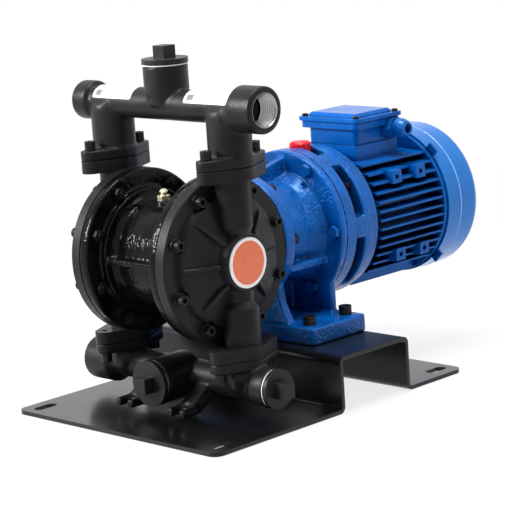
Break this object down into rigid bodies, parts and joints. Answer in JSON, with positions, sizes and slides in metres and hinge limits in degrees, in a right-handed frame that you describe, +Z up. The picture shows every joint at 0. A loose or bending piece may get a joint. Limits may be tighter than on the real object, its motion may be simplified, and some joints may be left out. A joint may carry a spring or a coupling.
{
  "type": "electric diaphragm pump",
  "caption": "Electric double diaphragm pump: ribbed chambers and ball-valve manifolds driven by a cycloidal geared motor on a bent steel base plate.",
  "frame": {"origin": "on the floor, at the centre of the outline of the whole set seen from above", "axes": "+Z up, +Y along the shaft from the pump head to the motor, +X towards the open discharge port"},
  "size_m": [0.28, 0.466, 0.3552],
  "materials": {
    "black_sheet": "satin powder coat on bent steel sheet",
    "black_oxide": "black oxide on steel screws",
    "zinc_steel": "zinc plated",
    "blue_paint": "gloss blue enamel over rough cast iron",
    "blue_aluminium": "gloss blue enamel over die-cast aluminium",
    "blue_sheet": "smooth gloss blue enamel on sheet steel",
    "blue_plastic": "blue enamel over a plastic gland",
    "red_plastic": "moulded red plastic",
    "ground_steel": "ground steel",
    "core_steel": "stacked steel laminations",
    "copper_winding": "varnished copper wire",
    "black_rubber": "moulded rubber",
    "ball_rubber": "moulded white elastomer",
    "black_plastic": "moulded black plastic",
    "gloss_black_cast": "gloss black paint over rough cast iron",
    "matt_black_cast": "matt charcoal powder coat on cast aluminium",
    "plate_aluminium": "turned aluminium",
    "brass": "machined brass",
    "bronze": "sintered bronze",
    "white_seal": "white PTFE",
    "seat_plastic": "white engineering plastic",
    "orange_badge": "orange enamel disc with a white rim and nothing on it"
  },
  "bodies": {
    "frame": {"base_plate": "black_sheet", "foot_bolts": "black_oxide", "foot_nuts": "zinc_steel", "gearbox_housing": "blue_paint", "gearbox_pin_ring": "blue_paint", "ring_pins": "ground_steel", "gearbox_bolts": "blue_paint", "motor_adapter": "blue_paint", "breather_cap": "red_plastic", "output_bearings": "ground_steel", "output_oil_seal": "black_rubber", "input_oil_seal": "black_rubber", "motor_flange": "blue_paint", "motor_flange_bolts": "zinc_steel", "motor_housing": "blue_aluminium", "stator_core": "core_steel", "stator_windings": "copper_winding", "motor_bearings": "ground_steel", "rear_endshield": "blue_aluminium", "fan_cover": "blue_sheet", "fan_cover_screws": "blue_sheet", "terminal_box": "blue_aluminium", "terminal_gasket": "black_rubber", "terminal_lid": "blue_aluminium", "terminal_lid_screws": "black_oxide", "terminal_block": "black_plastic", "cable_gland": "blue_plastic", "crankcase": "gloss_black_cast", "crankcase_bolts": "black_oxide", "vent_fitting": "brass", "rod_bushes": "bronze", "diaphragms": "black_rubber", "chamber_cover_right": "matt_black_cast", "chamber_cover_left": "matt_black_cast", "cover_screws": "black_oxide", "cover_nuts": "black_oxide", "top_manifold": "matt_black_cast", "bottom_manifold": "matt_black_cast", "manifold_bolts": "black_oxide", "port_plugs": "black_plastic", "plug_seals": "white_seal", "valve_seats": "seat_plastic", "name_badge": "orange_badge"},
    "rotor": {"motor_shaft": "ground_steel", "rotor_core": "core_steel", "cooling_fan": "black_plastic", "double_eccentric": "ground_steel"},
    "output": {"output_shaft": "ground_steel", "output_rollers": "ground_steel", "drive_eccentric": "ground_steel", "eccentric_bearing": "ground_steel"},
    "disc_front": {"cycloid_disc_front": "ground_steel"},
    "disc_rear": {"cycloid_disc_rear": "ground_steel"},
    "yoke": {"yoke_frame": "ground_steel", "diaphragm_rods": "ground_steel", "diaphragm_plates": "plate_aluminium"},
    "outlet_right": {"outlet_ball_right": "ball_rubber"},
    "outlet_left": {"outlet_ball_left": "ball_rubber"},
    "inlet_right": {"inlet_ball_right": "ball_rubber"},
    "inlet_left": {"inlet_ball_left": "ball_rubber"}
  },
  "joints": [
    {"name": "rotor_spin", "type": "hinge", "parent": "frame", "child": "rotor", "pos_m": [0, 0.1, 0.155], "axis": [0, 1, 0], "continuous": true},
    {"name": "output_spin", "type": "hinge", "parent": "frame", "child": "output", "pos_m": [0, 0, 0.155], "axis": [0, 1, 0], "continuous": true},
    {"name": "front_disc_spin", "type": "hinge", "parent": "rotor", "child": "disc_front", "pos_m": [0, 0.03, 0.1575], "axis": [0, 1, 0], "continuous": true},
    {"name": "rear_disc_spin", "type": "hinge", "parent": "rotor", "child": "disc_rear", "pos_m": [0, 0.035, 0.1525], "axis": [0, 1, 0], "continuous": true},
    {"name": "yoke_slide", "type": "slide", "parent": "frame", "child": "yoke", "axis": [1, 0, 0], "range_m": [-0.004, 0.004], "stiffness_N_per_m": 500, "deforming": ["diaphragms"]},
    {"name": "outlet_right_lift", "type": "slide", "parent": "frame", "child": "outlet_right", "axis": [0, 0, 1], "range_m": [0, 0.006]},
    {"name": "outlet_left_lift", "type": "slide", "parent": "frame", "child": "outlet_left", "axis": [0, 0, 1], "range_m": [0, 0.006]},
    {"name": "inlet_right_lift", "type": "slide", "parent": "frame", "child": "inlet_right", "axis": [0, 0, 1], "range_m": [0, 0.006]},
    {"name": "inlet_left_lift", "type": "slide", "parent": "frame", "child": "inlet_left", "axis": [0, 0, 1], "range_m": [0, 0.006]}
  ],
  "couplings": [
    {"joint": "output_spin", "follows": "rotor_spin", "ratio": -0.090909},
    {"joint": "front_disc_spin", "follows": "rotor_spin", "ratio": -1.0909},
    {"joint": "rear_disc_spin", "follows": "rotor_spin", "ratio": -1.0909}
  ]
}
